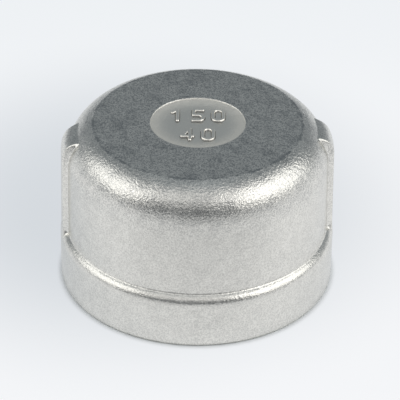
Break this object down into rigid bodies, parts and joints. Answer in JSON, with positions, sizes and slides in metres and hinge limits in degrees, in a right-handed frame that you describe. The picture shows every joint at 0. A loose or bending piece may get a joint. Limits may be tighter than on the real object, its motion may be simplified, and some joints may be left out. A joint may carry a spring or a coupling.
{
  "type": "female pipe cap",
  "caption": "Round banded stainless cap with a female pipe thread, a rounded shoulder, wrench ribs on its sides and raised size numerals in a round recess on the crown.",
  "frame": {"origin": "centre of the mouth, in the plane of its rim", "axes": "+Z along the thread's axis from the mouth to the crown, +X and -X through the two wrench ribs"},
  "size_m": [0.056, 0.056, 0.035],
  "materials": {
    "blasted_steel": "bead-blasted investment casting, satin",
    "machined_steel": "turned and threaded, bright",
    "tumbled_steel": "as cast and tumbled, slightly smoother than the body"
  },
  "bodies": {
    "root": {"cap_casting": "blasted_steel", "pipe_thread": "machined_steel", "size_marks": "tumbled_steel"}
  },
  "joints": []
}
